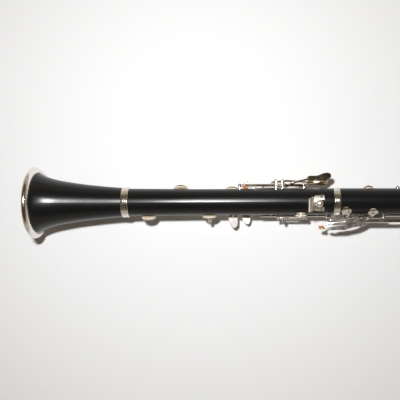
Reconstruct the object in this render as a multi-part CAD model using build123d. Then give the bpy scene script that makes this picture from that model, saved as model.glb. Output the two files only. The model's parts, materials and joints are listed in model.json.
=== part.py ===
"""Straight soprano clarinet, Boehm system, 17 keys and 6 rings, lying with its thumb rest up.

Frame: +X runs along the bore from the bell mouth (x = 0) to the mouthpiece tip, +Z points out of the
back of the instrument (the thumb rest side) and +Y is the player's left. Millimetres.
Places round the body are given by a clock angle: 0 is the back, 90 the player's left, 180 the front
where the finger holes are, and -90 the player's right.
"""

import os
from math import cos, radians, sin, sqrt

from build123d import *

# ---- driving dimensions along the bore -----------------------------------------------------------
BELL_END = 108.0  # top of the bell, where the lower joint's shoulder sits
MIDDLE = 342.0  # line between the lower and upper joints
UPPER_END = 539.0  # line between the upper joint and the barrel
BARREL_END = 605.0  # line between the barrel and the mouthpiece
TIP = 675.0  # mouthpiece tip
MOUTH_R = 39.8  # outer radius of the bell's rim ring
MOUTH_BORE_R = 30.0
RIM_WIDTH = 6.4
RIM_SEAT_R = 33.8  # the rim ring's seat on the wood
LIP_LENGTH = 3.0  # straight lip inside the bell mouth
BELL_STATIONS = [
    (6.4, 33.95), (8, 32.7), (12, 30.5), (18, 28.1), (30, 24.9), (41, 22.9), (52, 21.2),
    (63, 19.8), (75, 18.5), (87, 17.4), (100, 16.3),
]
BODY_STATIONS = [(BELL_END, 15.4), (185, 14.6), (MIDDLE, 14.8), (MIDDLE + 40, 14.7), (UPPER_END, 14.0)]
BORE_R = 7.4
BELL_TENON = 20.0
MID_TENON = 17.0
TENON_R = 11.0
BELL_TENON_R = 12.0
SOCKET_GAP = 0.2  # radial room between a wooden tenon and its socket
CORK_PROUD = 0.12
SLIDE_GAP = 0.3  # end room at the foot of each socket
RING_WIDTH = 7.6
RING_R = 16.8
MIDDLE_RING_R = 15.5
MIDDLE_RING_WIDTH = 7.0

# ---- driving dimensions of the key work ----------------------------------------------------------
HINGE_R = 18.6  # height of the hinge lines above the bore axis
TUBE_R = 1.5
TUBE_BORE_R = 0.75
ROD_R = 0.7
BALL_R = 2.05
POST_R = 1.35
POST_ROOT = 3.0  # depth of a post's threaded foot in the wood
POST_END_GAP = 2.3  # from a post's centre to the end of the tube beside it
PAD_T = 2.2
PAD_GAP = 0.06  # between a closed pad and its seat
CUP_WALL = 0.45
CUP_TOP = 0.9
CUP_OVERLAP = 1.2  # how far the cup's rim comes down over the pad
RING_T = 1.5
THUMB_CLOCK = -7.5  # the thumb rest sits a little towards the right hand
TABLE_START = 609.5  # butt end of the mouthpiece's flat table
TABLE_Z = 9.6  # height of the table the reed lies on

PARTS = {}


# ---- helpers -------------------------------------------------------------------------------------
def at(x, clock, r):
    """The point at x along the bore, at a clock angle and a radius."""
    a = radians(clock)
    return Vector(x, r * sin(a), r * cos(a))


def face_plane(x, clock, r):
    """A plane tangent to the radius r: its x along the bore and its z pointing outwards."""
    a = radians(clock)
    return Plane(origin=at(x, clock, r), x_dir=(1, 0, 0), z_dir=(0, sin(a), cos(a)))


def disc(x, clock, r0, r1, radius):
    """A radial cylinder between two heights above the bore axis."""
    return extrude(face_plane(x, clock, r0) * Circle(radius), r1 - r0)


def rod_x(x0, x1, y, z, radius):
    return extrude(Plane(origin=(x0, y, z), x_dir=(0, 1, 0), z_dir=(1, 0, 0)) * Circle(radius), x1 - x0)


def turned(points, arcs=()):
    """A solid of revolution about the bore axis from (x, radius) points, closed along the axis."""
    outline = Polyline(*[(x, r) for x, r in points], close=True)
    return revolve(Plane.XZ * make_face(outline), Axis.X, 360)


def ring_x(x0, x1, r_in, r_out, edge=0.0):
    body = Pos(x0, 0, 0) * Rot(0, 90, 0) * extrude(Circle(r_out) - Circle(r_in), x1 - x0)
    if edge:
        rims = [e for e in body.edges().filter_by(GeomType.CIRCLE) if abs(e.radius - r_out) < 1e-3]
        body = fillet(rims, edge)
    return body


def wrap(x, clock0, clock1, r, width=2.6, thick=1.7):
    """A curved arm that runs round the body at radius r between two clock angles."""
    low, high = sorted((clock0, clock1))
    section = Plane.XZ * Pos(x, r) * RectangleRounded(width, thick, min(width, thick) * 0.38)
    return Rot(-high, 0, 0) * revolve(section, Axis.X, high - low)


def bar(p, q, radius, end_radius=None):
    """A round tapered arm with ball ends."""
    p, q = Vector(*p), Vector(*q)
    end_radius = end_radius or radius
    along = q - p
    start = Plane(origin=p, z_dir=along)
    stop = Plane(origin=q, z_dir=along)
    if abs(end_radius - radius) < 1e-6:
        body = extrude(start * Circle(radius), along.length)
    else:
        body = loft([start * Circle(radius), stop * Circle(end_radius)])
    return body + Pos(*p) * Sphere(radius) + Pos(*q) * Sphere(end_radius)


def chain(points, radius, end_radius=None):
    """A bent arm through several points, tapering from the first to the last."""
    end_radius = end_radius or radius
    last = len(points) - 1
    radii = [radius + (end_radius - radius) * i / last for i in range(last + 1)]
    return joined([bar(points[i], points[i + 1], radii[i], radii[i + 1]) for i in range(last)])


def joined(shapes):
    body = shapes[0]
    for shape in shapes[1:]:
        body = body + shape
    return body


def plate(plane, outline, thick, edge=0.35):
    """A finger plate: a closed smooth outline of plane points, its edges eased."""
    curve = Spline(*outline, periodic=True)
    body = extrude(plane * make_face(curve), thick)
    try:
        return fillet(body.edges(), min(edge, thick * 0.45))
    except Exception:
        return body


def hinge_axis(clock, r=HINGE_R):
    p = at(0, clock, r)
    return Axis((0, p.Y, p.Z), (1, 0, 0))


def tube(x0, x1, clock, r=HINGE_R, radius=TUBE_R):
    p = at(0, clock, r)
    return rod_x(x0, x1, p.Y, p.Z, radius)


def bored(body, x0, x1, clock, r=HINGE_R):
    p = at(0, clock, r)
    return body - rod_x(x0 - 5, x1 + 5, p.Y, p.Z, TUBE_BORE_R)


def post(x, clock, r=HINGE_R):
    """A ball-headed post screwed into the wood, and what the wood is drilled for it."""
    foot = wood_r(x)
    body = extrude(Plane.XY.offset(foot - POST_ROOT) * Circle(POST_R), r - foot + POST_ROOT)
    body = body + extrude(Plane.XY.offset(foot - 0.3) * Circle(POST_R + 0.75), 1.0)
    body = body + Pos(0, 0, r) * Sphere(BALL_R) - rod_x(-5, 5, 0, r, TUBE_BORE_R)
    drill = extrude(Plane.XY.offset(foot - POST_ROOT) * Circle(POST_R), POST_ROOT + 3)
    drill = drill + extrude(Plane.XY.offset(foot - 0.3) * Circle(POST_R + 0.75), 3)
    place = Pos(x, 0, 0) * Rot(-clock, 0, 0)
    return place * body, place * drill


def wood_r(x):
    """Outer radius of the wooden body at x, for both joints."""
    for (x0, r0), (x1, r1) in zip(BODY_STATIONS, BODY_STATIONS[1:]):
        if x <= x1:
            return r0 + (r1 - r0) * (x - x0) / (x1 - x0)
    return BODY_STATIONS[-1][1]


def seat_r(x, pad_r):
    """Height of a flat pad seat, low enough to be cut right across the round body."""
    body = wood_r(x)
    return sqrt(body * body - (pad_r * 0.93) ** 2)


def seat_cut(x, clock, pad_r, hole_r):
    """What is cut from the wood at a padded hole: a flat facing, a groove round the rim, the hole."""
    seat = seat_r(x, pad_r)
    facing = disc(x, clock, seat, seat + 6, pad_r + 0.9)
    groove = disc(x, clock, seat - 0.7, seat + 1, pad_r + 0.9)
    groove = groove - disc(x, clock, seat - 1, seat + 2, hole_r + 1)
    return [facing, groove, disc(x, clock, BORE_R - 1.5, seat + 6, hole_r)]


def cup(x, clock, pad_r):
    """A pad cup over its pad, both closed on the seat, and the room the pad takes: (cup, pad, room)."""
    seat = seat_r(x, pad_r)
    low, high = seat + PAD_GAP, seat + PAD_GAP + PAD_T
    pad = disc(x, clock, low, high, pad_r)
    rims = circles_at(pad, at(x, clock, low))
    pad = fillet(rims, 0.5)
    shell = disc(x, clock, high - CUP_OVERLAP, high + CUP_TOP, pad_r + CUP_WALL)
    top = circles_at(shell, at(x, clock, high + CUP_TOP))
    shell = chamfer(top, CUP_TOP * 0.8, pad_r * 0.35)
    room = disc(x, clock, low - 1, high, pad_r)
    return shell - room, pad, room


def cup_top_r(x, pad_r):
    return seat_r(x, pad_r) + PAD_GAP + PAD_T + CUP_TOP


def finger_ring(x, clock, r_mid, inner, outer):
    """A ring that stands round a finger hole's chimney."""
    body = disc(x, clock, r_mid - RING_T / 2, r_mid + RING_T / 2, outer)
    body = fillet(body.edges(), 0.5)
    return body - disc(x, clock, r_mid - 3, r_mid + 3, inner)


def circles_at(body, centre):
    return [e for e in body.edges().filter_by(GeomType.CIRCLE) if (e.arc_center - centre).length < 0.05]


def write(name, shape):
    PARTS[name] = shape if isinstance(shape, list) else [shape]


def solids_of(shape):
    return list(shape.solids()) if hasattr(shape, "solids") else [shape]


# ---- lists that the key functions fill -----------------------------------------------------------
LOWER_CUTS, UPPER_CUTS = [], []
LOWER_POSTS, UPPER_POSTS = [], []
LOWER_STEEL, UPPER_STEEL = [], []


def joint_lists(x):
    if x < MIDDLE:
        return LOWER_CUTS, LOWER_POSTS, LOWER_STEEL
    return UPPER_CUTS, UPPER_POSTS, UPPER_STEEL


def stand(posts, clock, r=HINGE_R):
    """Ball posts at these places along one hinge line, and the steel rod through them."""
    cuts, made, steel = joint_lists(posts[0])
    for x in posts:
        body, drill = post(x, clock, r)
        made.append(body)
        cuts.append(drill)
    p = at(0, clock, r)
    steel.append(rod_x(posts[0] - BALL_R - 0.2, posts[-1] + BALL_R + 0.2, p.Y, p.Z, ROD_R))


def padded(x, clock, pad_r, hole_r):
    joint_lists(x)[0].extend(seat_cut(x, clock, pad_r, hole_r))
    return cup(x, clock, pad_r)


def swing(shapes, axis, degrees):
    return [s.rotate(axis, degrees) for s in shapes]


# ---- lower joint keys ----------------------------------------------------------------------------
E_LINE, F_LINE, FS_LINE, AB_LINE = -144, -163, 177, 150
SLIVER_LINE, RINGS_LINE = -100, -121
LEFT_LINE = 92
BRIDGE_AT = -108  # clock angle where the two halves of the bridge lie over each other
BIG_PAD, AB_PAD, SLIVER_PAD, RINGS_PAD = 7.9, 7.0, 5.8, 4.3
E_OPEN, F_OPEN, FS_OPEN, RINGS_OPEN = 10.0, 6.0, 5.5, 5.0


def e_key():
    """Low E key: normally open, pad low on the player's right, its touch stands out to the right."""
    x, clock, x0, x1 = 128.2, -112, 124.0, 252.0
    shell, pad, room = padded(x, clock, BIG_PAD, 5.4)
    top = cup_top_r(x, BIG_PAD)
    arm = wrap(x, E_LINE, clock + 6, top + 0.2, 4.2, 2.0)
    touch_plane = Plane(origin=(223.4, -20.0, -18.0), x_dir=(1, 0, 0), z_dir=(0, 0, 1))
    outline = [(-5.2, 3.5), (-5.3, -2), (-2.5, -8), (1.3, -11), (4.6, -8.2), (5.2, -1), (4.8, 3.5), (0, 5)]
    touch = plate(touch_plane, outline, 1.7, 0.5)
    neck = bar((223.4, -16.5, -17.1), (223.4, at(0, E_LINE, HINGE_R).Y, at(0, E_LINE, HINGE_R).Z), 1.5)
    lug = wrap(249.5, E_LINE, -184, 22.8, 2.8, 1.5) + disc(249.5, E_LINE, HINGE_R, 23.2, 1.3)
    key = joined([tube(x0, x1, E_LINE), shell, arm, neck, lug, touch])
    key = bored(key, x0, x1, E_LINE) - room
    stand([x0 - POST_END_GAP, 176.0, x1 + POST_END_GAP], E_LINE)
    gap = tube(176.0 - POST_END_GAP, 176.0 + POST_END_GAP, E_LINE, radius=TUBE_R + 1)
    bridge = bar(at(170.5, E_LINE, HINGE_R), at(171.5, E_LINE + 0, HINGE_R + 3.4), 1.1)
    bridge = bridge + bar(at(171.5, E_LINE, HINGE_R + 3.4), at(180.5, E_LINE, HINGE_R + 3.4), 1.1)
    bridge = bridge + bar(at(180.5, E_LINE, HINGE_R + 3.4), at(181.5, E_LINE, HINGE_R), 1.1)
    bridge = bridge - tube(x0, x1, E_LINE, radius=TUBE_BORE_R)
    key = (key - gap) + bridge
    shapes = swing([key, pad], hinge_axis(E_LINE), E_OPEN)
    write("low_e_key", shapes[0])
    write("low_e_pad", shapes[1])


def f_key():
    """Low F key: normally open, pad on the right above the low E key's tube."""
    x, clock, x0, x1 = 196.9, -109, 194.0, 243.2
    shell, pad, room = padded(x, clock, BIG_PAD, 5.2)
    top = cup_top_r(x, BIG_PAD)
    high = HINGE_R + TUBE_R + 2.6
    arm = wrap(x, F_LINE, clock + 2, high, 3.6, 1.8)
    stem = disc(x, clock, top - 0.3, high + 0.4, 1.9)
    riser = disc(x, F_LINE, HINGE_R, high + 0.4, 1.6)
    touch_plane = Plane(origin=(237.2, -19.0, -21.6), x_dir=(1, 0, 0), z_dir=(0, 0, 1))
    outline = [(-4.0, 5), (-3.2, -2), (-1.0, -5.5), (3.2, -7.6), (5.6, -4), (5.6, 3), (4.0, 7), (-1, 7)]
    touch = plate(touch_plane, outline, 1.6, 0.5)
    hinge = at(0, F_LINE, HINGE_R)
    neck = chain([(237.0, hinge.Y, hinge.Z), (237.0, hinge.Y - 2.5, -20.6), (237.0, -15, -20.8)], 1.4, 1.0)
    lug = wrap(241.3, F_LINE, -198, 22.4, 2.8, 1.5) + disc(241.3, F_LINE, HINGE_R, 22.8, 1.3)
    key = joined([tube(x0, x1, F_LINE), shell, stem, riser, arm, neck, lug, touch])
    key = bored(key, x0, x1, F_LINE) - room
    stand([x0 - POST_END_GAP, x1 + POST_END_GAP], F_LINE)
    shapes = swing([key, pad], hinge_axis(F_LINE), F_OPEN)
    write("low_f_key", shapes[0])
    write("low_f_pad", shapes[1])


def f_sharp_key():
    """Low F sharp key: normally open, pad on the left, tube along the front."""
    x, clock, x0, x1 = 164.7, 112, 161.0, 238.5
    shell, pad, room = padded(x, clock, BIG_PAD, 5.3)
    arm = wrap(x, clock - 6, FS_LINE, cup_top_r(x, BIG_PAD) + 0.2, 4.2, 2.0)
    outline = [(-5.2, 0), (-3.2, -3.6), (1, -4), (4.6, -2.5), (5, 1), (3, 3.8), (-2, 3.6)]
    touch = plate(face_plane(229.3, FS_LINE, 21.3), outline, 1.6, 0.5)
    riser = disc(229.3, FS_LINE, HINGE_R, 21.6, 1.5)
    lug = wrap(236.6, FS_LINE, 161, 21.4, 2.8, 1.6) + disc(236.6, FS_LINE, HINGE_R, 21.8, 1.3)
    key = bored(joined([tube(x0, x1, FS_LINE), shell, arm, riser, lug, touch]), x0, x1, FS_LINE) - room
    stand([x0 - POST_END_GAP, x1 + POST_END_GAP], FS_LINE)
    shapes = swing([key, pad], hinge_axis(FS_LINE), -FS_OPEN)
    write("low_f_sharp_key", shapes[0])
    write("low_f_sharp_pad", shapes[1])


def a_flat_key():
    """A flat / E flat key: normally closed, pad on the left, touch on the front."""
    x, clock, x0, x1 = 222.3, 112, 212.0, 229.5
    shell, pad, room = padded(x, clock, AB_PAD, 4.6)
    arm = wrap(x, clock - 5, AB_LINE, cup_top_r(x, AB_PAD) + 0.2, 3.8, 1.9)
    outline = [(-5.5, 0), (-3, -3.6), (1.5, -4), (4.4, -2), (4.6, 1.5), (2, 4), (-3, 3.6)]
    touch = plate(face_plane(217.0, 168, 22.3), outline, 1.6, 0.5)
    reach = wrap(217.0, AB_LINE, 164, 22.3, 3.4, 1.6)
    riser = disc(217.0, AB_LINE, HINGE_R, 22.8, 1.6)
    key = bored(joined([tube(x0, x1, AB_LINE), shell, arm, riser, reach, touch]), x0, x1, AB_LINE) - room
    stand([x0 - POST_END_GAP, x1 + POST_END_GAP], AB_LINE)
    write("a_flat_key", key)
    write("a_flat_pad", pad)


def lower_rings_key():
    """The three-ring key of the right hand, with its vent pad and the lower half of the bridge."""
    rings = [(266.0, 6.9, 8.9), (294.0, 6.1, 8.0), (318.0, 6.1, 8.0)]
    x0, x1 = 258.5, 330.6
    x, clock = 306.0, -146
    shell, pad, room = padded(x, clock, RINGS_PAD, 2.8)
    parts = [tube(x0, x1, RINGS_LINE), shell]
    parts.append(wrap(x, RINGS_LINE, clock, cup_top_r(x, RINGS_PAD) + 0.1, 2.8, 1.6))
    for ring_x0, inner, outer in rings:
        parts.append(finger_ring(ring_x0, 180, 17.0, inner, outer))
        edge = -180 + degrees_of(outer - 0.6, 17.0)
        parts.append(wrap(ring_x0, RINGS_LINE, edge, 17.6, 3.0, 1.7))
        parts.append(disc(ring_x0, RINGS_LINE, 16.9, HINGE_R, 1.5))
        seat = disc(ring_x0, 180, BORE_R - 1.5, 20, inner - 2.6)
        LOWER_CUTS.append(seat)
    bridge = [at(328.6, RINGS_LINE, HINGE_R), at(329.0, BRIDGE_AT, 18.9), at(338.6, BRIDGE_AT, 18.9)]
    parts.append(chain([tuple(p) for p in bridge], 1.3))
    key = bored(joined(parts), x0, x1, RINGS_LINE) - room
    stand([x0 - POST_END_GAP, x1 + POST_END_GAP], RINGS_LINE)
    shapes = swing([key, pad], hinge_axis(RINGS_LINE), -RINGS_OPEN)
    write("lower_rings_key", shapes[0])
    write("lower_rings_pad", shapes[1])


def degrees_of(arc, r):
    """The clock angle that an arc length takes at radius r."""
    return arc / r * 180 / 3.14159265


def lower_sliver_key():
    """B / F sharp sliver key: normally closed, pad on the right, touch between the second and third rings."""
    x, clock, x0, x1 = 299.0, -76, 276.0, 303.0
    shell, pad, room = padded(x, clock, SLIVER_PAD, 3.4)
    arm = wrap(x, SLIVER_LINE, clock - 3, cup_top_r(x, SLIVER_PAD) + 0.2, 3.0, 1.7)
    high = cup_top_r(x, SLIVER_PAD) + 1.6
    tip = disc(x, clock, high - 1.8, high, 1.3)
    tip = fillet(circles_at(tip, at(x, clock, high)), 0.8)
    high = HINGE_R + TUBE_R + 2.5
    riser = disc(280.0, SLIVER_LINE, HINGE_R, high + 0.5, 1.4)
    over = wrap(280.0, SLIVER_LINE, -150, high, 2.6, 1.6)
    down = disc(280.0, -150, 18.6, high + 0.5, 1.3)
    outline = [(-7.5, 0.6), (-3, -1.6), (3, -1.8), (7.5, -0.2), (4, 1.6), (-3, 1.9)]
    touch = plate(face_plane(280.0, -156, 18.2), outline, 1.5, 0.4)
    neck = wrap(280.0, -150, -156, 19.0, 2.4, 1.6)
    parts = [tube(x0, x1, SLIVER_LINE), shell, arm, tip, riser, over, down, neck, touch]
    key = bored(joined(parts), x0, x1, SLIVER_LINE) - room
    stand([x0 - POST_END_GAP, x1 + POST_END_GAP], SLIVER_LINE)
    write("lower_sliver_key", key)
    write("lower_sliver_pad", pad)


def pillar(x):
    """A tall post with a pointed finial, one of the pair on the left of the lower joint."""
    foot = wood_r(x)
    body = disc(x, LEFT_LINE, foot - POST_ROOT, HINGE_R, POST_R)
    body = body + disc(x, LEFT_LINE, foot - 0.3, foot + 0.8, POST_R + 0.9)
    body = body + disc(x, LEFT_LINE, foot + 2.0, 23.4, 2.05)
    top = face_plane(x, LEFT_LINE, 23.4)
    cone = loft([top * Circle(2.05), face_plane(x, LEFT_LINE, 25.6) * Circle(0.5)])
    p = at(0, LEFT_LINE, HINGE_R)
    LOWER_POSTS.append(body + cone - rod_x(x - 5, x + 5, p.Y, p.Z, TUBE_BORE_R))
    LOWER_CUTS.append(disc(x, LEFT_LINE, foot - POST_ROOT, foot + 3, POST_R))
    LOWER_CUTS.append(disc(x, LEFT_LINE, foot - 0.3, foot + 3, POST_R + 0.9))


def teardrop(plane, length, width, thick):
    """A long finger spatula: narrow where the lever comes in, round at its free end."""
    outline = [(0, 0.9), (0, -0.9), (length * 0.35, -width * 0.32), (length * 0.72, -width * 0.5)]
    outline += [(length, -width * 0.12), (length, width * 0.2)]
    outline += [(length * 0.72, width * 0.5), (length * 0.35, width * 0.3)]
    return plate(plane, outline, thick, 0.6)


def left_levers():
    """The three left-hand levers: low E, low F sharp and low F, with tubes on the left side."""
    hinge = at(0, LEFT_LINE, HINGE_R)
    body, drill = post(231.0, LEFT_LINE)
    LOWER_POSTS.append(body)
    LOWER_CUTS.append(drill)
    pillar(271.6)
    pillar(278.9)
    body, drill = post(303.0, LEFT_LINE)
    LOWER_POSTS.append(body)
    LOWER_CUTS.append(drill)
    LOWER_STEEL.append(rod_x(228.8, 305.2, hinge.Y, hinge.Z, ROD_R))

    x0, x1 = 231.0 + POST_END_GAP, 271.6 - POST_END_GAP
    bends = [(265.5, hinge.Y, hinge.Z), (267.6, 22.0, -4.8), (284.0, 23.6, -7.4), (303.0, 22.6, -9.2)]
    arm = chain(bends, 1.4, 1.1)
    spatula = teardrop(Plane(origin=(302.0, 21.4, -9.2), x_dir=(1, 0.03, 0), z_dir=(0.0, 1, 0)), 29, 8.6, 1.7)
    spike = bar((239.6, hinge.Y, hinge.Z), (239.6, 23.6, hinge.Z), 0.75, 0.5)
    bends = [(236.6, hinge.Y, hinge.Z), (236.6, 20.4, -8.0), (236.6, 17.0, -17.0), (236.6, 9.0, -23.0)]
    foot = chain(bends, 1.3, 1.0)
    lever = joined([tube(x0, x1, LEFT_LINE), arm, spatula, spike, foot])
    write("left_f_sharp_lever", bored(lever, x0, x1, LEFT_LINE))

    x0, x1 = 278.9 + POST_END_GAP, 303.0 - POST_END_GAP
    arm = chain([(286.0, hinge.Y, hinge.Z), (291.0, 21.4, 0.4), (308.0, 25.4, 1.2)], 1.5, 1.2)
    spatula = teardrop(Plane(origin=(306.5, 25.2, 0.2), x_dir=(1, 0.14, 0), z_dir=(0, 0.12, 1)), 27, 8.0, 1.7)
    bends = [(283.4, hinge.Y, hinge.Z), (282.4, 19.6, -5.0), (259.0, 18.4, -13.6), (251.6, 11.0, -16.8)]
    foot = chain(bends + [(249.5, 1.5, -17.9)], 1.3, 0.9)
    lever = joined([tube(x0, x1, LEFT_LINE), arm, spatula, foot])
    write("left_e_lever", bored(lever, x0, x1, LEFT_LINE))


def left_f_lever():
    """The left-hand low F lever, on its own line nearer the front."""
    line, x0, x1 = 128, 252.0, 300.0
    hinge = at(0, line, HINGE_R)
    arm = chain([(296.0, hinge.Y, hinge.Z), (299.5, 17.5, -14.4), (309.0, 20.5, -15.8)], 1.4, 1.1)
    plane = Plane(origin=(308.0, 21.0, -16.8), x_dir=(1, 0.06, 0), z_dir=(0, 0.25, 1))
    spatula = teardrop(plane, 24, 8.0, 1.6)
    foot = chain([(254.4, hinge.Y, hinge.Z), (250.6, 15.0, -15.2), (241.3, 6.0, -18.3)], 1.2, 0.9)
    lever = joined([tube(x0, x1, line), arm, spatula, foot])
    stand([x0 - POST_END_GAP, x1 + POST_END_GAP], line)
    write("left_f_lever", bored(lever, x0, x1, line))


# ---- upper joint keys ----------------------------------------------------------------------------
SIDE_LINE, TRILL_B_LINE, TRILL_C_LINE = -75, -90, -104
TRILL_B_R, TRILL_C_R = 22.6, 22.8
CSHARP_LINE = 134
SMALL_PAD = 5.0
UPPER_RINGS_OPEN = 5.0


def side_touch(x, y, z):
    """A small finger tab of the side keys, its face towards the player's right."""
    plane = Plane(origin=(x, y, z), x_dir=(1, 0, 0), z_dir=(0, -1, 0))
    outline = [(-3.3, 2.5), (-3.4, -1.5), (-1.6, -4.6), (1.6, -4.6), (3.4, -1.5), (3.3, 2.5), (0, 4.6)]
    return plate(plane, outline, 1.7, 0.6)


def side_keys():
    """The two lower side keys of the right first finger, hinged on one line on the right-hand back."""
    hinge = at(0, SIDE_LINE, HINGE_R)
    stand([346.4, 357.9, 390.6], SIDE_LINE)

    x, clock, x0, x1 = 348.3, -42, 348.7, 355.6
    shell, pad, room = padded(x, clock, SMALL_PAD, 3.0)
    top = cup_top_r(x, SMALL_PAD)
    arm = wrap(x + 2.5, clock, SIDE_LINE, top + 0.3, 2.6, 1.6)
    bends = [(351.6, hinge.Y, hinge.Z), (348.6, -22.4, 3.2), (336.0, -23.8, -0.6), (326.0, -25.4, -2.0)]
    lever = chain(bends + [(323.0, -29.0, -2.0)], 1.3, 1.1)
    key = joined([tube(x0, x1, SIDE_LINE), shell, arm, disc(x + 2.5, SIDE_LINE, 17.0, HINGE_R, 1.3), lever,
                  side_touch(323.0, -29.4, -2.0)])
    write("side_e_flat_key", bored(key, x0, x1, SIDE_LINE) - room)
    write("side_e_flat_pad", pad)

    x, clock, x0, x1 = 378.0, -50, 360.2, 388.3
    shell, pad, room = padded(x, clock, SMALL_PAD, 3.0)
    top = cup_top_r(x, SMALL_PAD)
    arm = wrap(x, clock, SIDE_LINE, top + 0.3, 2.6, 1.6)
    collar = tube(371.6, 375.6, SIDE_LINE, radius=2.1)
    plane = Plane(origin=(0, 0, 7.2), x_dir=(1, 0, 0), z_dir=(0, 0, 1))
    blade = [(375.0, -17.6), (369.0, -17.2), (361.0, -21.6), (349.0, -25.8), (330.0, -28.8), (329.0, -31.6),
             (346.0, -31.2), (361.0, -28.0), (371.0, -22.6), (376.0, -19.4)]
    blade = extrude(plane * make_face(Polyline(*blade, close=True)), -1.7)
    blade = fillet(blade.edges().filter_by(Axis.Z), 0.8)
    drop = bar((332.0, -30.0, 6.4), (332.0, -30.0, -1.0), 1.2, 1.0)
    link = bar((373.6, hinge.Y, hinge.Z), (373.0, -19.6, 6.4), 1.5)
    key = joined([tube(x0, x1, SIDE_LINE), collar, shell, arm, disc(x, SIDE_LINE, 17.0, HINGE_R, 1.3),
                  link, blade, drop, side_touch(332.0, -30.2, -1.6)])
    write("side_f_sharp_key", bored(key, x0, x1, SIDE_LINE) - room)
    write("side_f_sharp_pad", pad)


def trill_keys():
    """The two upper side keys: long tubes up the right side to the trill pads near the top."""
    for name, line, r, x, clock, x0, middle, touch_x, z in (
        ("side_b_flat", TRILL_B_LINE, TRILL_B_R, 493.0, -66, 366.0, 432.0, 340.6, -6.4),
        ("side_c", TRILL_C_LINE, TRILL_C_R, 510.0, -80, 371.0, 438.0, 348.6, -11.5),
    ):
        x1 = x + 4.0
        hinge = at(0, line, r)
        shell, pad, room = padded(x, clock, SMALL_PAD, 2.8)
        top = cup_top_r(x, SMALL_PAD)
        arm = wrap(x, clock, line, top + 0.3, 2.6, 1.6)
        root = disc(x, line, 16.8, r, 1.3)
        out = -30.6 if line == TRILL_B_LINE else -31.0
        bend = (x0 + 0.6, hinge.Y - 4.4, hinge.Z - 0.6)
        points = [(x0 + 3.5, hinge.Y, hinge.Z), bend, (touch_x, out + 0.6, z)]
        lever = chain(points, 1.3, 1.1)
        key = joined([tube(x0, x1, line, r), shell, arm, root, lever, side_touch(touch_x, out, z)])
        gap = tube(middle - POST_END_GAP, middle + POST_END_GAP, line, r, TUBE_R + 1)
        key = bored(key, x0, x1, line, r) - gap - room
        over = r + 3.2
        loop = [at(middle - 4.2, line, r), at(middle - 3.4, line, over)]
        loop += [at(middle + 3.4, line, over), at(middle + 4.2, line, r)]
        key = key + (chain([tuple(p) for p in loop], 1.0) - tube(x0, x1, line, r, TUBE_BORE_R))
        stand([x0 - POST_END_GAP, middle, x1 + POST_END_GAP], line, r)
        write(name + "_key", key)
        write(name + "_pad", pad)


def c_sharp_key():
    """C sharp / G sharp key of the left little finger: normally closed, pad on the left."""
    x, clock, x0, x1 = 375.7, 100, 351.3, 384.0
    hinge = at(0, CSHARP_LINE, HINGE_R)
    shell, pad, room = padded(x, clock, SMALL_PAD, 3.1)
    top = cup_top_r(x, SMALL_PAD)
    arm = wrap(x, CSHARP_LINE, clock, top + 0.3, 2.8, 1.6)
    root = disc(x, CSHARP_LINE, 17.0, HINGE_R, 1.4)
    plane = Plane(origin=(339.9, 25.0, 1.2), x_dir=(0.42, 0.9, 0.0), z_dir=(0.25, -0.12, 1))
    outline = [(-9, 0), (-5.5, -3.9), (2, -4.9), (8, -3), (9, 1), (4, 4.8), (-4, 4.2)]
    touch = plate(plane, outline, 1.7, 0.6)
    bends = [(354.5, hinge.Y, hinge.Z), (352.6, 19.4, -9.0), (348.6, 21.8, 1.0), (341.5, 23.5, 1.9)]
    lever = chain(bends, 1.5, 1.2)
    key = joined([tube(x0, x1, CSHARP_LINE), shell, arm, root, lever, touch])
    key = bored(key, x0, x1, CSHARP_LINE) - room
    stand([x0 - POST_END_GAP, x1 + POST_END_GAP], CSHARP_LINE)
    write("c_sharp_key", key)
    write("c_sharp_pad", pad)


def upper_rings_keys():
    """The two ring keys of the left hand; the lower one carries the upper half of the bridge."""
    for name, ring_at, x, x0, x1 in (
        ("upper_bridge_key", 441.0, 427.5, 352.0, 451.0),
        ("first_ring_key", 466.0, 454.5, 455.6, 474.0),
    ):
        clock = -147
        shell, pad, room = padded(x, clock, RINGS_PAD, 2.6)
        parts = [tube(x0, x1, RINGS_LINE), finger_ring(ring_at, 180, 16.5, 6.0, 7.8)]
        if name == "first_ring_key":
            parts.append(wrap(457.2, RINGS_LINE, -136, 17.4, 2.6, 1.6))
            parts.append(bar(at(457.2, -136, 17.4), at(x, clock, cup_top_r(x, RINGS_PAD)), 0.9))
            parts.append(disc(457.2, RINGS_LINE, 16.9, HINGE_R, 1.4))
        else:
            parts.append(wrap(x, RINGS_LINE, clock, cup_top_r(x, RINGS_PAD) + 0.1, 2.6, 1.6))
            parts.append(disc(x, RINGS_LINE, 16.8, HINGE_R, 1.4))
            bridge = [at(354.6, RINGS_LINE, HINGE_R), at(352.6, BRIDGE_AT, 20.9), at(333.6, BRIDGE_AT, 22.2)]
            parts.append(chain([tuple(p) for p in bridge], 1.4, 1.1))
        parts.append(shell)
        parts.append(wrap(ring_at, RINGS_LINE, -180 + degrees_of(7.2, 16.5), 17.2, 2.8, 1.6))
        parts.append(disc(ring_at, RINGS_LINE, 16.7, HINGE_R, 1.4))
        key = bored(joined(parts), x0, x1, RINGS_LINE) - room
        UPPER_CUTS.append(disc(ring_at, 180, BORE_R - 1.5, 20, 3.5))
        shapes = swing([key, pad], hinge_axis(RINGS_LINE), -UPPER_RINGS_OPEN)
        write(name, shapes[0])
        write(name.replace("_key", "_pad"), shapes[1])
    stand([352.0 - POST_END_GAP, 453.3, 474.0 + POST_END_GAP], RINGS_LINE)
    UPPER_CUTS.append(disc(417.0, 180, BORE_R - 1.5, 20, 3.6))


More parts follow.
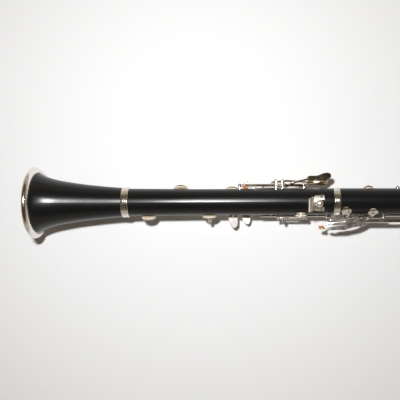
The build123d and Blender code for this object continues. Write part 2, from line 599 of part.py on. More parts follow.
def thumb_ring_key():
    """The thumb's ring on the back, hinged on the right."""
    x, x0, x1 = 471.0, 466.0, 477.0
    ring = finger_ring(x, 0, 16.5, 6.2, 8.0)
    arm = wrap(x, SIDE_LINE, -degrees_of(7.4, 16.5), 17.2, 2.8, 1.6)
    root = disc(x, SIDE_LINE, 16.7, HINGE_R, 1.4)
    key = bored(joined([tube(x0, x1, SIDE_LINE), ring, arm, root]), x0, x1, SIDE_LINE)
    stand([x0 - POST_END_GAP, x1 + POST_END_GAP], SIDE_LINE)
    UPPER_CUTS.append(disc(x, 0, BORE_R - 1.5, 20, 3.6))
    write("thumb_ring_key", key.rotate(hinge_axis(SIDE_LINE), 4.5))


def upper_sliver_key():
    """E flat / B flat sliver key of the left hand: normally closed, touch between the finger holes."""
    line, x, clock, x0, x1 = 124, 415.6, 98, 412.8, 433.0
    shell, pad, room = padded(x, clock, SMALL_PAD, 2.9)
    arm = wrap(x, clock, line, cup_top_r(x, SMALL_PAD) + 0.3, 2.6, 1.6)
    root = disc(x, line, 17.0, HINGE_R, 1.4)
    outline = [(-6.8, 0.4), (-3, -1.7), (3, -1.7), (6.8, 0), (4, 1.7), (-3, 1.7)]
    touch = plate(face_plane(427.2, 160, 18.0), outline, 1.5, 0.4)
    reach = wrap(426.5, line, 156, 18.8, 2.4, 1.5)
    key = bored(joined([tube(x0, x1, line), shell, arm, root, reach, touch]), x0, x1, line) - room
    stand([x0 - POST_END_GAP, x1 + POST_END_GAP], line)
    write("upper_sliver_key", key)
    write("upper_sliver_pad", pad)


def g_sharp_key():
    """Throat G sharp key: normally closed, pad on the left, touch on the front above the first ring."""
    line, x, clock, x0, x1 = 126, 492.0, 100, 478.0, 494.6
    shell, pad, room = padded(x, clock, SMALL_PAD, 2.8)
    arm = wrap(x, clock, line, cup_top_r(x, SMALL_PAD) + 0.3, 2.6, 1.6)
    root = disc(x, line, 17.0, HINGE_R, 1.4)
    outline = [(-4, 0), (-2.6, -3), (2, -3.2), (4.4, 0), (2, 3.2), (-2.6, 3)]
    touch = plate(face_plane(480.5, 156, 20.4), outline, 1.6, 0.5)
    riser = disc(480.5, line, HINGE_R, 21.4, 1.4)
    reach = wrap(480.5, line, 152, 21.0, 2.8, 1.5)
    key = bored(joined([tube(x0, x1, line), shell, arm, root, riser, reach, touch]), x0, x1, line) - room
    stand([x0 - POST_END_GAP, x1 + POST_END_GAP], line)
    write("throat_g_sharp_key", key)
    write("throat_g_sharp_pad", pad)


def cross_hinged(name, side, x_hinge, x_pad, pad_r, hole_r, touch_from, touch_to, lift, half):
    """A key that rocks on a cross pin between two posts: the register key and the throat A key."""
    shell, pad, room = padded(x_pad, side, pad_r, hole_r)
    turn = Rot(-side, 0, 0)
    top = cup_top_r(x_pad, pad_r)
    across = Plane(origin=(x_hinge, -half + POST_END_GAP, HINGE_R), z_dir=(0, 1, 0), x_dir=(1, 0, 0))
    barrel = turn * extrude(across * Circle(TUBE_R), 2 * half - 2 * POST_END_GAP)
    arm = turn * bar((x_hinge, 0, HINGE_R), (x_pad, 0, top + 0.2), 1.4, 1.1)
    reach = turn * bar((x_hinge, 0, HINGE_R), (touch_from, 0, lift), 1.4, 1.2)
    length = abs(touch_from - touch_to)
    plane = Plane(origin=(touch_from + 1, 0, lift - 0.8), x_dir=(-1, 0, 0), z_dir=(0, 0, 1))
    spatula = turn * teardrop(plane, length + 1, 7.0, 1.6)
    through = Plane(origin=(x_hinge, -20, HINGE_R), z_dir=(0, 1, 0), x_dir=(1, 0, 0))
    hole = turn * extrude(through * Circle(TUBE_BORE_R), 40)
    write(name + "_key", joined([barrel, arm, reach, shell, spatula]) - hole - room)
    write(name + "_pad", pad)
    for sign in (-1, 1):
        foot = sqrt(wood_r(x_hinge) ** 2 - half * half)
        plane = Plane(origin=(x_hinge, sign * half, foot - POST_ROOT), x_dir=(1, 0, 0), z_dir=(0, 0, 1))
        stem = turn * extrude(plane * Circle(POST_R), HINGE_R - foot + POST_ROOT)
        ball = turn * (Pos(x_hinge, sign * half, HINGE_R) * Sphere(BALL_R))
        UPPER_POSTS.append(stem + ball - hole)
        UPPER_CUTS.append(turn * extrude(plane * Circle(POST_R), POST_ROOT + 6))
    pin = Plane(origin=(x_hinge, -half - BALL_R - 0.2, HINGE_R), z_dir=(0, 1, 0), x_dir=(1, 0, 0))
    UPPER_STEEL.append(turn * extrude(pin * Circle(ROD_R), 2 * half + 2 * BALL_R + 0.4))


# ---- wooden bodies, rings, corks -----------------------------------------------------------------
def bell():
    inner = [(LIP_LENGTH, MOUTH_BORE_R), (8, 27.4), (16, 24.4), (26, 21.4), (40, 18.0), (56, 15.0)]
    inner += [(72, 12.4), (86, 11.0)]
    socket = BELL_TENON_R + SOCKET_GAP
    foot = BELL_END - BELL_TENON - SLIDE_GAP
    with BuildSketch(Plane.XZ) as section:
        with BuildLine():
            Spline(*BELL_STATIONS)
            Polyline(BELL_STATIONS[-1], (BELL_END, 15.6), (BELL_END, socket), (foot, socket), (foot, 11.0),
                     inner[-1])
            Spline(*inner)
            Polyline(inner[0], (0, MOUTH_BORE_R), (0, RIM_SEAT_R), (RIM_WIDTH, RIM_SEAT_R),
                     BELL_STATIONS[0])
        make_face()
    body = revolve(section.sketch, Axis.X, 360)
    ring_seat = ring_x(BELL_END - RING_WIDTH, BELL_END + 1, 14.6, 30)
    body = body - ring_seat
    write("bell", body)

    with BuildSketch(Plane.XZ) as section:
        with BuildLine():
            Polyline((0, 37.2), (0, RIM_SEAT_R), (RIM_WIDTH, RIM_SEAT_R), (RIM_WIDTH, RIM_SEAT_R + 0.6))
            ThreePointArc((RIM_WIDTH, RIM_SEAT_R + 0.6), (5.6, 38.2), (2.8, MOUTH_R))
            ThreePointArc((2.8, MOUTH_R), (0.8, 39.1), (0, 37.2))
        make_face()
    rim = revolve(section.sketch, Axis.X, 360)
    write("bell_rim_ring", rim)
    grooved("bell_socket_ring", BELL_END - RING_WIDTH, BELL_END, 14.6)


def grooved(name, x0, x1, inner, outer=RING_R):
    """A nickel joint ring with a rounded outside and two turned grooves."""
    ring = ring_x(x0, x1, inner, outer, 0.7)
    width = x1 - x0
    for share in (0.36, 0.64):
        groove = Pos(x0 + share * width, 0, 0) * Rot(0, 90, 0) * Torus(outer + 0.15, 0.55)
        ring = ring - groove
    write(name, ring)
    return ring


def cork_band(x0, x1, tenon_r):
    return ring_x(x0, x1, tenon_r - 1.0, tenon_r + CORK_PROUD, 0.3)


def cork_groove(x0, x1, tenon_r):
    return ring_x(x0, x1, tenon_r - 1.0, tenon_r + 3)


def cut_all(body, cuts):
    for tool in cuts:
        body = body - tool
    return body


def lower_joint():
    foot = BELL_END - BELL_TENON
    socket_foot = MIDDLE - MID_TENON - SLIDE_GAP
    socket = TENON_R + SOCKET_GAP
    bore = [(foot, 10.9), (150, 9.0), (200, 7.8), (230, BORE_R), (socket_foot, BORE_R)]
    bore += [(socket_foot, socket), (MIDDLE, socket)]
    outer = [(x, wood_r(x)) for x in (MIDDLE, 185, BELL_END)]
    outer += [(BELL_END, BELL_TENON_R), (foot, BELL_TENON_R)]
    body = turned(bore + outer)
    body = body - ring_x(MIDDLE - MIDDLE_RING_WIDTH, MIDDLE + 1, 13.4, 30)
    band = (foot + 3.0, BELL_END - 4.0)
    body = body - cork_groove(*band, BELL_TENON_R)
    for x, pocket in ((266.0, 5.4), (294.0, 4.8), (318.0, 4.8)):
        body = body + (disc(x, 180, 12.0, 17.0, pocket) - disc(x, 180, 0, 20, pocket - 1.2))
    heel = extrude(Plane.XY.offset(10) * Pos(329.0, 0) * RectangleRounded(9.0, 10.0, 2.4), 10)
    body = body + (heel & ring_x(320, 335, 13.6, wood_r(330) + 1.2))
    body = cut_all(body, LOWER_CUTS)
    air = [(foot - 1, 0), (foot - 1, 10.9), (150, 9.0), (200, 7.8), (230, BORE_R)]
    air += [(socket_foot + 1, BORE_R), (socket_foot + 1, 0)]
    write("lower_joint", body - turned(air))
    write("bell_tenon_cork", cork_band(*band, BELL_TENON_R))
    grooved("middle_ring", MIDDLE - MIDDLE_RING_WIDTH, MIDDLE, 13.4, MIDDLE_RING_R)


def upper_joint():
    foot, top = MIDDLE - MID_TENON, UPPER_END + MID_TENON
    outer = [(foot, TENON_R), (MIDDLE, TENON_R)] + [(x, wood_r(x)) for x in (MIDDLE, MIDDLE + 40, UPPER_END)]
    outer += [(UPPER_END, TENON_R), (top, TENON_R), (top, BORE_R), (foot, BORE_R)]
    body = turned(outer)
    bands = [(foot + 3.0, MIDDLE - 3.5), (UPPER_END + 3.5, top - 3.0)]
    for band in bands:
        body = body - cork_groove(*band, TENON_R)
    for x, clock in ((417.0, 180), (441.0, 180), (466.0, 180), (471.0, 0)):
        body = body + (disc(x, clock, 11.5, 16.4, 4.9) - disc(x, clock, 0, 20, 3.8))
    body = cut_all(body, UPPER_CUTS)
    write("upper_joint", body - rod_x(foot - 1, top + 1, 0, 0, BORE_R))
    write("upper_tenon_corks", [cork_band(*band, TENON_R) for band in bands])


def barrel():
    socket = TENON_R + SOCKET_GAP
    low, high = UPPER_END + MID_TENON + SLIDE_GAP, BARREL_END - MID_TENON - SLIDE_GAP
    with BuildSketch(Plane.XZ) as section:
        with BuildLine():
            Polyline((UPPER_END, 15.6), (UPPER_END, socket), (low, socket), (low, BORE_R), (high, BORE_R),
                     (high, socket), (BARREL_END, socket), (BARREL_END, 16.6))
            Spline((BARREL_END, 16.6), (590, 17.0), (572, 17.3), (555, 16.4), (UPPER_END, 15.6))
        make_face()
    body = revolve(section.sketch, Axis.X, 360)
    body = body - ring_x(UPPER_END - 1, UPPER_END + 6.0, 14.2, 30)
    body = body - ring_x(BARREL_END - 6.0, BARREL_END + 1, 14.8, 30)
    write("barrel", body)
    low_ring = ring_x(UPPER_END, UPPER_END + 6.0, 14.2, 16.4, 0.7)
    high_ring = ring_x(BARREL_END - 6.0, BARREL_END, 14.8, 17.4, 0.7)
    write("barrel_rings", [low_ring, high_ring])


def mouthpiece():
    foot = BARREL_END - MID_TENON
    outer = [(foot, 0), (foot, TENON_R), (BARREL_END, TENON_R), (BARREL_END, 14.5), (609, 14.0), (637, 14.0),
             (TIP, 11.6), (TIP, 0)]
    body = turned(outer)
    band = (foot + 3.0, BARREL_END - 3.5)
    body = body - cork_groove(*band, TENON_R)
    facing = [(TABLE_START, 30), (TABLE_START, TABLE_Z), (650, TABLE_Z), (664, TABLE_Z - 0.3)]
    facing += [(TIP + 1, 8.5), (TIP + 1, 30)]
    side_plane = Plane(origin=(0, 30, 0), x_dir=(1, 0, 0), z_dir=(0, -1, 0))
    body = body - extrude(side_plane * make_face(Polyline(*facing, close=True)), 60)
    beak = Plane(origin=(TIP, 0, 8.0), x_dir=(1, 0, 0.5), z_dir=(0.5, 0, -1))
    body = body - extrude(beak * Rectangle(110, 60), 40)
    for side in (-1, 1):
        rail = Plane(origin=(TIP, side * 6.4, 0), x_dir=(1, -side * 0.11, 0), z_dir=(side * 0.11, side, 0))
        body = body - extrude(rail * Rectangle(84, 60), 20)
    chamber = loft([Plane(origin=(622, 0, 0), z_dir=(1, 0, 0), x_dir=(0, 1, 0)) * Circle(6.6),
                    Plane(origin=(650, 0, 3.6), z_dir=(1, 0, 0), x_dir=(0, 1, 0)) * Circle(3.9)])
    window = Pos(653, 0, 9.0) * Box(34, 9.6, 12)
    body = body - rod_x(foot - 1, 622.5, 0, 0, BORE_R - 0.2) - chamber - window
    write("mouthpiece", body)
    write("mouthpiece_cork", cork_band(*band, TENON_R))

    butt, tip, under = TABLE_START + 1.0, TIP - 0.4, TABLE_Z + 0.02
    blank = [(butt, under), (tip, under), (tip, under + 0.12), (657, 10.7), (646, 12.7), (616, 12.9)]
    blank.append((butt, 12.3))
    reed = extrude(Plane(origin=(0, 6.4, 0), x_dir=(1, 0, 0), z_dir=(0, -1, 0))
                   * make_face(Polyline(*[(x, z) for x, z in blank], close=True)), 12.8)
    reed = reed & rod_x(butt - 1, tip + 1, 0, 0, 13.6)
    write("reed", reed)


def ligature():
    """A sprung metal band round the mouthpiece and reed, closed by two thumb screws on the reed side."""
    x0, x1, inner, thick = 612.0, 634.0, 14.06, 0.7
    band = ring_x(x0, x1, inner, inner + thick)
    band = band - Pos((x0 + x1) / 2, 0, 16) * Box(x1 - x0 + 2, 6.6, 8)
    for side in (-1, 1):
        lug = Pos((x0 + x1) / 2, side * 4.4, 16.4) * Box(x1 - x0, 2.2, 5.4)
        lug = lug - rod_x(x0 - 1, x1 + 1, 0, 0, inner)
        band = band + lug
    for x in (x0 + 4.0, x1 - 7.0):
        window = Pos(x + 1.5, 0, 0) * Rot(90, 0, 0) * Cylinder(2.0, 60)
        band = band - window
    screws = []
    for i, x in enumerate((x0 + 4.5, x1 - 4.5)):
        shaft = extrude(Plane(origin=(x, -7.6, 17.0), z_dir=(0, 1, 0), x_dir=(1, 0, 0)) * Circle(1.2), 13.6)
        head = extrude(Plane(origin=(x, -12.6, 17.0), z_dir=(0, 1, 0), x_dir=(1, 0, 0)) * Circle(3.0), 4.4)
        head = fillet(head.edges(), 0.6)
        wing = Pos(x, -13.6, 17.0) * Box(5.0, 4.2, 1.3)
        wing = fillet(wing.edges().filter_by(Axis.Z), 0.6)
        neck = extrude(Plane(origin=(x, -8.4, 17.0), z_dir=(0, 1, 0), x_dir=(1, 0, 0)) * Circle(1.2), 3)
        screw = shaft + neck + head + wing
        screws.append(screw)
        hole = extrude(Plane(origin=(x, -9, 17.0), z_dir=(0, 1, 0), x_dir=(1, 0, 0)) * Circle(1.26), 20)
        band = band - hole
    write("ligature", band)
    write("ligature_screw_low", screws[0])
    write("ligature_screw_high", screws[1])


def thumb_rest():
    """The right thumb's hook: a horseshoe base plate on three screws, a domed boss and a curved hook."""
    turn = Rot(-THUMB_CLOCK, 0, 0)
    r = wood_r(330)
    shell = rod_x(300, 330, 0, 0, r + 1.4) - rod_x(299, 331, 0, 0, r)
    plan = [(-7.2, -1.6), (-6.0, -5.4), (-2.4, -8.4), (7.6, -9.0)]
    plan += [(x, -y) for x, y in reversed(plan)]
    shape = extrude(Plane(origin=(316.2, 0, 0)) * make_face(Polyline(*plan, close=True)), 30)
    shape = fillet(shape.edges().filter_by(Axis.Z), 1.2)
    notch = extrude(Plane(origin=(322.4, 0, 0)) * RectangleRounded(9.0, 8.4, 3.0), 30)
    base = (shell & shape) - notch
    boss = Pos(318.4, 0, r + 0.9) * Sphere(4.2) & Pos(318, 0, r + 10) * Box(20, 20, 20)
    boss = boss & (rod_x(300, 330, 0, 0, r + 9) - rod_x(299, 331, 0, 0, r))
    hook_section = [(309.4, r + 0.6), (309.0, r + 6.0), (307.4, r + 11.0), (304.6, r + 14.4)]
    back = [(306.2, r + 15.6), (309.2, r + 11.8), (311.0, r + 6.2), (311.6, r + 0.6)]
    with BuildSketch(Plane.XZ) as section:
        with BuildLine():
            Spline(*hook_section)
            ThreePointArc(hook_section[-1], (305.0, r + 15.4), back[0])
            Spline(*back)
            Line(back[-1], hook_section[0])
        make_face()
    hook = extrude(section.sketch, 7.4, both=True)
    across = Plane(origin=(308, 0, 0), x_dir=(0, 1, 0), z_dir=(1, 0, 0))
    hook = hook & extrude(across * Pos(0, 20) * RectangleRounded(14.6, 30, 4.0), 12, both=True)
    hook = hook - rod_x(300, 330, 0, 0, r)
    body = base + boss + hook
    screws = []
    for x, clock in ((313.4, 0), (320.6, 27), (320.6, -27)):
        hole = disc(x, clock, r - 5, r + 4, 0.9)
        sink = disc(x, clock, r + 0.7, r + 4, 1.7)
        body = body - hole - sink
        LOWER_CUTS.append(turn * disc(x, clock, r - 4.2, r + 3, 0.9))
        slot = extrude(face_plane(x, clock, r + 1.0) * Rectangle(3.6, 0.4), 1)
        shank = disc(x, clock, r - 4.2, r + 0.8, 0.88)
        screws.append(shank + disc(x, clock, r + 0.72, r + 1.35, 1.65) - slot)
    write("thumb_rest", turn * body)
    write("thumb_rest_screws", [turn * screw for screw in screws])


def fixed_parts():
    write("lower_posts", LOWER_POSTS)
    write("upper_posts", UPPER_POSTS)
    write("lower_rods", LOWER_STEEL)
    write("upper_rods", UPPER_STEEL)


def main():
    e_key()
    f_key()
    f_sharp_key()
    a_flat_key()
    lower_rings_key()
    lower_sliver_key()
    left_levers()
    left_f_lever()
    side_keys()
    trill_keys()
    c_sharp_key()
    upper_rings_keys()
    thumb_ring_key()
    upper_sliver_key()
    g_sharp_key()
    cross_hinged("register", 0, 497.0, 512.0, 3.6, 1.5, 492.0, 481.6, 20.2, 6.0)
    cross_hinged("throat_a", 180, 493.0, 506.0, 4.4, 2.4, 488.0, 477.0, 20.2, 6.0)
    thumb_rest()
    bell()
    lower_joint()
    upper_joint()
    barrel()
    mouthpiece()
    ligature()
    fixed_parts()

    os.makedirs("parts", exist_ok=True)
    for old in os.listdir("parts"):
        os.remove(os.path.join("parts", old))
    for name, shapes in PARTS.items():
        solids = [s for shape in shapes for s in solids_of(shape)]
        export_step(Compound(children=solids) if len(solids) > 1 else solids[0], f"parts/{name}.step")


main()
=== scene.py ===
"""The looks of the clarinet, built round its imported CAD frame.

Metres, in the frame's own axes: +X from the bell mouth to the mouthpiece tip, +Z out of the back of
the instrument, which lies uppermost, and +Y towards the player's left.
"""

import json
import math

import bmesh
import bpy
from mathutils import Matrix, Vector


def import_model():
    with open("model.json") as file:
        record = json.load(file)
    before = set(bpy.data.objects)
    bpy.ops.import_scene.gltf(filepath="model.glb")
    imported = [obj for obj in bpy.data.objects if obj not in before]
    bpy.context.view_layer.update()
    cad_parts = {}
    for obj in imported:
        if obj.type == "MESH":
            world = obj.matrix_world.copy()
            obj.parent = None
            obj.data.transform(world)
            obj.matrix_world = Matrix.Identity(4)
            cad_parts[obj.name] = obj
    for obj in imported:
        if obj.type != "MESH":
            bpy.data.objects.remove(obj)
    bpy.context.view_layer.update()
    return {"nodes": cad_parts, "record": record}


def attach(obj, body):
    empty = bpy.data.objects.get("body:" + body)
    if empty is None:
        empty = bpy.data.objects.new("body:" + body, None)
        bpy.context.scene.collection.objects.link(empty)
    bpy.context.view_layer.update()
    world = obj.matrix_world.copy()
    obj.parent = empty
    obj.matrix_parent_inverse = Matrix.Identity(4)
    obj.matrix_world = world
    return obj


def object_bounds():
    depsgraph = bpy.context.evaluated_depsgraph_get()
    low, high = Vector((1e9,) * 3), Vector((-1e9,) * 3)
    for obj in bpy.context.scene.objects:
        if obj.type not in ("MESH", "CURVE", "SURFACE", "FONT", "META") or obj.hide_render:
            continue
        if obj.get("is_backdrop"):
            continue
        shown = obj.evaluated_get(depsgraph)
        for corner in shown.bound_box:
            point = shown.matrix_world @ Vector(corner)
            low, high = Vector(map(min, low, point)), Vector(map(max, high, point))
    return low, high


MM = 0.001

# ---- camera and light ----------------------------------------------------------------------------
VIEW_AT = (0.2335, 0.0021, 0.655)  # the camera looks straight down from here
LENS = 52.65
SENSOR = 36.0
SHIFT_X = -0.105
ROLL = math.radians(-0.25)
FLOOR_COLOUR = (0.79, 0.805, 0.83)
FLOOR_SIDE = 4.0  # half the width of the floor
FLOOR_GAP = 0.0002  # from the lowest part of the instrument down to the floor
FLASH_AT = (0.158, 0.12, 0.70)
FLASH_AIM = (0.24, 0.0, 0.0)
FLASH_SIZE = (0.05, 0.035)
FLASH_POWER = 6.5
FLASH_COLOUR = (1.0, 0.995, 0.985)
ROOM_STRENGTH = 0.6
ROOM = (  # height of the direction looked in (0 level, 1 straight up), colour
    (0.0, (1.0, 0.91, 0.75)),
    (0.30, (0.80, 0.69, 0.52)),
    (0.52, (0.14, 0.10, 0.062)),
    (1.0, (0.045, 0.036, 0.027)),
)

# ---- key work: millimetres and degrees -------------------------------------------------------------
HINGE_R = 18.6
KEY_FINISH = {  # keys that fingers have worn dull, and levers with a smooth polish whose warm brown tint is painted reflection of the dark brown room above them
    "low_e_key": "satin_nickel",
    "low_f_key": "satin_nickel",
    "thumb_rest": "cream_nickel",
    "left_e_lever": "polished_nickel",
    "left_f_lever": "polished_nickel",
    "left_f_sharp_lever": "polished_nickel",
    "c_sharp_key": "polished_nickel",
}
SPRINGS = (  # body, clock angle of the hinge line, post, reach along the bore
    ("lower_joint", -144, 121.7, 17),
    ("lower_joint", -144, 254.3, -16),
    ("lower_joint", 92, 271.6, -15),
    ("lower_joint", 150, 231.8, -12),
    ("upper_joint", -75, 357.9, 15),
    ("upper_joint", -75, 390.6, -14),
    ("upper_joint", -121, 453.3, -16),
    ("upper_joint", 134, 386.3, -14),
    ("upper_joint", 124, 435.3, -13),
)
SPRING_R = 0.28
SPRING_TAPER = 0.45  # share of that radius lost towards the free end
SPRING_STEPS = 8
SPRING_BOW = 0.25
SPRING_DROP = 2.35  # from the hinge line in towards the wood
KEY_CORKS = (  # name, body, centre, size
    ("lever_cork", "lower_joint", (237.2, 15.9, 1.2), (6.8, 1.8, 3.2)),
    ("side_touch_cork", "side_e_flat", (322.0, -28.2, 1.2), (6.4, 2.2, 3.4)),
)
CORK_BEVEL = 0.22  # share of a block's least side
CORK_RIPPLE = 0.05
RIPPLE_WAVES = (2300.0, 1900.0, 1700.0)  # radians in a metre along x, y and z


# ---- materials -----------------------------------------------------------------------------------
class Nodes:
    """A short way to wire a node material."""

    def __init__(self, name):
        self.material = bpy.data.materials.new(name)
        self.material.use_nodes = True
        self.tree = self.material.node_tree
        self.shader = self.tree.nodes["Principled BSDF"]
        self.coords = self.add("ShaderNodeTexCoord").outputs["Object"]

    def add(self, kind, **values):
        node = self.tree.nodes.new(kind)
        for key, value in values.items():
            if hasattr(node, key):
                setattr(node, key, value)
            else:
                node.inputs[key.replace("_", " ")].default_value = value
        return node

    def link(self, source, node, socket):
        self.tree.links.new(source, node.inputs[socket])

    def set(self, **values):
        for key, value in values.items():
            self.shader.inputs[key.replace("_", " ")].default_value = value

    def stretched(self, scale):
        mapping = self.add("ShaderNodeMapping", Scale=scale)
        self.link(self.coords, mapping, "Vector")
        return mapping.outputs["Vector"]

    def noise(self, scale, detail=3.0, stretch=None, roughness=0.5):
        node = self.add("ShaderNodeTexNoise", Scale=scale, Detail=detail, Roughness=roughness)
        self.link(self.stretched(stretch) if stretch else self.coords, node, "Vector")
        return node.outputs["Fac"]

    def ramp(self, source, stops):
        node = self.add("ShaderNodeValToRGB")
        ramp = node.color_ramp
        while len(ramp.elements) < len(stops):
            ramp.elements.new(0.5)
        for element, (place, colour) in zip(ramp.elements, stops):
            element.position = place
            element.color = (*colour, 1.0)
        self.link(source, node, "Fac")
        return node.outputs["Color"]

    def spread(self, source, low, high, source_low=0.3, source_high=0.7):
        node = self.add("ShaderNodeMapRange", From_Min=source_low, From_Max=source_high, To_Min=low,
                        To_Max=high)
        self.link(source, node, "Value")
        return node.outputs["Result"]

    def bump(self, source, strength, distance, under=None):
        node = self.add("ShaderNodeBump", Strength=strength, Distance=distance)
        self.link(source, node, "Height")
        if under:
            self.link(under, node, "Normal")
        return node.outputs["Normal"]

    def paint(self, **sources):
        for key, source in sources.items():
            self.link(source, self.shader, key.replace("_", " "))


def grenadilla():
    """Oiled African blackwood: near black, with fine open pores along the bore."""
    n = Nodes("grenadilla")
    grain = n.noise(1.0, 6.0, stretch=(60, 1500, 1500), roughness=0.6)
    pores = n.noise(1.0, 2.0, stretch=(260, 5200, 5200))
    broad = n.noise(1.0, 2.0, stretch=(9, 70, 70))
    stops = [(0.25, (0.0034, 0.0037, 0.0040)), (0.55, (0.0056, 0.0060, 0.0064)),
             (0.85, (0.011, 0.0105, 0.0100))]
    colour = n.ramp(grain, stops)
    n.paint(Base_Color=colour, Roughness=n.spread(broad, 0.23, 0.32))
    fine = n.bump(pores, 0.30, 0.00006)
    n.paint(Normal=n.bump(grain, 0.24, 0.00012, fine))
    n.set(IOR=1.38)
    return n.material


def nickel(name, tint=(0.80, 0.765, 0.705), low=0.16, high=0.28):
    """Polished nickel plate with handling haze and a warm tarnish in places."""
    n = Nodes(name)
    haze = n.noise(160.0, 5.0)
    cloud = n.noise(38.0, 3.0)
    wear = n.noise(2600.0, 2.0)
    warm = tuple(c * f for c, f in zip(tint, (0.86, 0.80, 0.70)))
    bright = tuple(min(1.0, c * 1.06) for c in tint)
    n.paint(Base_Color=n.ramp(cloud, [(0.30, warm), (0.52, tint), (0.80, bright)]))
    n.paint(Roughness=n.spread(haze, low, high))
    n.paint(Normal=n.bump(wear, 0.05, 0.00003, n.bump(haze, 0.04, 0.0002)))
    n.set(Metallic=1.0)
    return n.material


def steel():
    """Turned steel rod with fine rings round it."""
    n = Nodes("turned_steel")
    rings = n.noise(1.0, 2.0, stretch=(9000, 60, 60))
    n.paint(Base_Color=n.ramp(rings, [(0.3, (0.40, 0.39, 0.38)), (0.7, (0.60, 0.59, 0.57))]))
    n.paint(Roughness=n.spread(rings, 0.25, 0.40), Normal=n.bump(rings, 0.08, 0.00003))
    n.set(Metallic=1.0)
    return n.material


def pad_skin():
    """Cream fish skin over felt, a little stained and finely crinkled."""
    n = Nodes("pad_skin")
    crinkle = n.noise(1400.0, 6.0, roughness=0.7)
    stain = n.noise(240.0, 3.0)
    stops = [(0.3, (0.62, 0.49, 0.30)), (0.55, (0.78, 0.68, 0.50)), (0.8, (0.86, 0.79, 0.64))]
    n.paint(Base_Color=n.ramp(stain, stops))
    n.paint(Roughness=n.spread(crinkle, 0.42, 0.62), Normal=n.bump(crinkle, 0.35, 0.00012))
    n.set(Subsurface_Weight=0.08, Subsurface_Scale=0.001)
    return n.material


def cork(name, light=(0.66, 0.42, 0.22), dark=(0.24, 0.12, 0.05)):
    """Sheet cork: warm granules with dark flecks between them."""
    n = Nodes(name)
    cell = n.add("ShaderNodeTexVoronoi", Scale=1500.0)
    n.link(n.coords, cell, "Vector")
    flecks = n.noise(2200.0, 4.0, roughness=0.7)
    mixed = n.add("ShaderNodeMath", operation="MULTIPLY")
    n.link(cell.outputs["Distance"], mixed, 0)
    n.link(flecks, mixed, 1)
    middle = tuple((a + b) / 2 for a, b in zip(light, dark))
    n.paint(Base_Color=n.ramp(mixed.outputs[0], [(0.08, dark), (0.20, middle), (0.42, light)]))
    n.paint(Normal=n.bump(mixed.outputs[0], 0.5, 0.0002))
    n.set(Roughness=0.82)
    return n.material


def hard_rubber():
    """Polished black ebonite with faint turning marks."""
    n = Nodes("hard_rubber")
    marks = n.noise(1.0, 3.0, stretch=(2400, 40, 40))
    smear = n.noise(90.0, 4.0)
    n.paint(Base_Color=n.ramp(smear, [(0.3, (0.006, 0.006, 0.0065)), (0.7, (0.012, 0.0118, 0.0115))]))
    n.paint(Roughness=n.spread(smear, 0.10, 0.22), Normal=n.bump(marks, 0.03, 0.00004))
    n.set(IOR=1.55)
    return n.material


def cane():
    """Reed cane: straw coloured fibres along the reed."""
    n = Nodes("cane")
    fibres = n.noise(1.0, 5.0, stretch=(50, 5200, 900), roughness=0.65)
    broad = n.noise(1.0, 2.0, stretch=(30, 260, 260))
    stops = [(0.28, (0.46, 0.27, 0.09)), (0.5, (0.70, 0.50, 0.24)), (0.78, (0.84, 0.68, 0.42))]
    n.paint(Base_Color=n.ramp(fibres, stops))
    n.paint(Roughness=n.spread(broad, 0.42, 0.6), Normal=n.bump(fibres, 0.3, 0.00008))
    n.set(Subsurface_Weight=0.1, Subsurface_Scale=0.0015)
    return n.material


def floor_material():
    """A matt pale floor, very slightly mottled."""
    n = Nodes("pale_floor")
    speck = n.noise(900.0, 3.0)
    low, high = tuple(c * 0.985 for c in FLOOR_COLOUR), FLOOR_COLOUR
    n.paint(Base_Color=n.ramp(speck, [(0.35, low), (0.65, high)]), Normal=n.bump(speck, 0.03, 0.0001))
    n.set(Roughness=0.75)
    return n.material


def finish_nodes(frame):
    """Gives every CAD node the material of its slot or its own finish, and returns all the materials."""
    made = {
        "grenadilla": grenadilla(),
        "key_nickel": nickel("key_nickel"),
        # posts: a darker copy of the key nickel, painted shade standing in for the dull dark reflection
        # the posts show
        "post_nickel": nickel("post_nickel", (0.52, 0.50, 0.45), 0.12, 0.22),
        "ring_nickel": nickel("ring_nickel", (0.80, 0.765, 0.70), 0.12, 0.22),
        "ligature_metal": nickel("ligature_metal", (0.82, 0.80, 0.77), 0.12, 0.22),
        # warm brown tint: painted reflection of the dark brown room above the levers
        "polished_nickel": nickel("polished_nickel", (0.74, 0.63, 0.48), 0.07, 0.15),
        "cream_nickel": nickel("cream_nickel", (0.84, 0.79, 0.69), 0.30, 0.44),
        "satin_nickel": nickel("satin_nickel", (0.84, 0.82, 0.78), 0.40, 0.55),
        "steel_rod": steel(),
        "pad": pad_skin(),
        "cork": cork("tenon_cork"),
        "key_cork": cork("key_cork", (0.86, 0.27, 0.07), (0.45, 0.11, 0.03)),
        "spring_steel": nickel("spring_steel", (0.16, 0.19, 0.27), 0.2, 0.32),
        "hard_rubber": hard_rubber(),
        "cane": cane(),
    }
    slots = {part["node"]: part["material_slot"] for part in frame["record"]["subparts"]}
    for name, obj in frame["nodes"].items():
        material = made[KEY_FINISH.get(name, slots[name])]
        if not obj.material_slots:
            obj.data.materials.append(material)
        for place in obj.material_slots:
            place.material = material
    return made


# ---- small parts that the frame leaves out ----------------------------------------------------------
def clock_point(x, clock, r):
    """The point at x along the bore, at a clock angle and a radius, in metres."""
    a = math.radians(clock)
    return Vector((x, r * math.sin(a), r * math.cos(a))) * MM


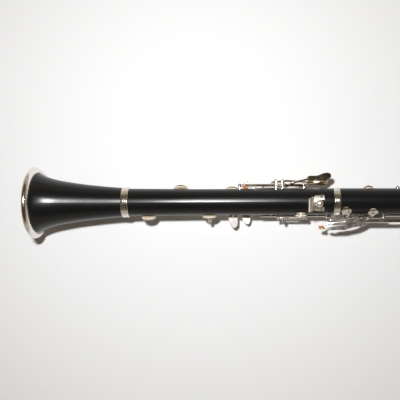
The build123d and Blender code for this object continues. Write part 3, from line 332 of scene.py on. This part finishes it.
def needle_spring(number, body, clock, post, reach, material):
    """A blued needle from a post, bowed lightly in under the tube that it turns."""
    curve = bpy.data.curves.new("needle_spring_%d" % number, "CURVE")
    curve.dimensions = "3D"
    curve.bevel_depth = SPRING_R * MM
    curve.bevel_resolution = 3
    curve.use_fill_caps = True
    spline = curve.splines.new("POLY")
    spline.points.add(SPRING_STEPS)
    for i in range(SPRING_STEPS + 1):
        share = i / SPRING_STEPS
        height = HINGE_R - SPRING_DROP + SPRING_BOW * math.sin(math.pi * share)
        place = clock_point(post + reach * share, clock, height)
        spline.points[i].co = (*place, 1.0)
        spline.points[i].radius = 1.0 - SPRING_TAPER * share
    obj = bpy.data.objects.new(curve.name, curve)
    bpy.context.collection.objects.link(obj)
    obj.data.materials.append(material)
    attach(obj, body)


def key_cork(name, body, centre, size, material):
    """A little block of cork, its edges cut and rounded by hand."""
    mesh = bpy.data.meshes.new(name)
    block = bmesh.new()
    bmesh.ops.create_cube(block, size=1.0)
    bmesh.ops.scale(block, vec=Vector(size) * MM, verts=block.verts)
    bevel = min(size) * CORK_BEVEL * MM
    bmesh.ops.bevel(block, geom=block.edges[:], offset=bevel, segments=3, affect="EDGES")
    for vertex in block.verts:
        x, y, z = (place * wave for place, wave in zip(vertex.co, RIPPLE_WAVES))
        vertex.co += vertex.normal * math.sin(x) * math.cos(y + z) * CORK_RIPPLE * MM
    bmesh.ops.translate(block, vec=Vector(centre) * MM, verts=block.verts)
    block.to_mesh(mesh)
    block.free()
    for face in mesh.polygons:
        face.use_smooth = True
    obj = bpy.data.objects.new(name, mesh)
    bpy.context.collection.objects.link(obj)
    obj.data.materials.append(material)
    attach(obj, body)


def small_parts(made):
    """Adds the springs and the corks."""
    for number, spring in enumerate(SPRINGS):
        needle_spring(number, *spring, made["spring_steel"])
    for cork_block in KEY_CORKS:
        key_cork(*cork_block, made["key_cork"])


# ---- stage ---------------------------------------------------------------------------------------
def floor(low):
    mesh = bpy.data.meshes.new("floor")
    corners = [(x * FLOOR_SIDE, y * FLOOR_SIDE, low) for x, y in ((-1, -1), (1, -1), (1, 1), (-1, 1))]
    mesh.from_pydata(corners, [], [(0, 1, 2, 3)])
    obj = bpy.data.objects.new("floor", mesh)
    bpy.context.collection.objects.link(obj)
    obj.data.materials.append(floor_material())
    obj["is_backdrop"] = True


def flash():
    """One small lamp near the camera."""
    data = bpy.data.lights.new("flash", "AREA")
    data.shape = "RECTANGLE"
    data.size, data.size_y = FLASH_SIZE
    data.energy = FLASH_POWER
    data.color = FLASH_COLOUR
    obj = bpy.data.objects.new("flash", data)
    obj.location = FLASH_AT
    aim = Vector(FLASH_AIM) - Vector(FLASH_AT)
    obj.rotation_euler = aim.to_track_quat("-Z", "Y").to_euler()
    bpy.context.collection.objects.link(obj)


def room():
    """Surroundings that are warm and bright low down and dark overhead."""
    world = bpy.data.worlds.new("room")
    world.use_nodes = True
    tree = world.node_tree
    coords = tree.nodes.new("ShaderNodeTexCoord")
    split = tree.nodes.new("ShaderNodeSeparateXYZ")
    tree.links.new(coords.outputs["Generated"], split.inputs["Vector"])
    ramp = tree.nodes.new("ShaderNodeValToRGB")
    while len(ramp.color_ramp.elements) < len(ROOM):
        ramp.color_ramp.elements.new(0.5)
    for element, (place, colour) in zip(ramp.color_ramp.elements, ROOM):
        element.position = place
        element.color = (*colour, 1.0)
    tree.links.new(split.outputs["Z"], ramp.inputs["Fac"])
    sky = tree.nodes["Background"]
    tree.links.new(ramp.outputs["Color"], sky.inputs["Color"])
    sky.inputs["Strength"].default_value = ROOM_STRENGTH
    bpy.context.scene.world = world


def camera():
    data = bpy.data.cameras.new("camera")
    data.lens = LENS
    data.sensor_width = SENSOR
    data.shift_x = SHIFT_X
    obj = bpy.data.objects.new("camera", data)
    obj.matrix_world = Matrix.Translation(VIEW_AT) @ Matrix.Rotation(ROLL, 4, "Z")
    bpy.context.collection.objects.link(obj)
    bpy.context.scene.camera = obj


def main():
    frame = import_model()
    made = finish_nodes(frame)
    small_parts(made)
    floor(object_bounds()[0][2] - FLOOR_GAP)
    flash()
    room()
    camera()
    bpy.context.scene.view_settings.view_transform = "Standard"


main()
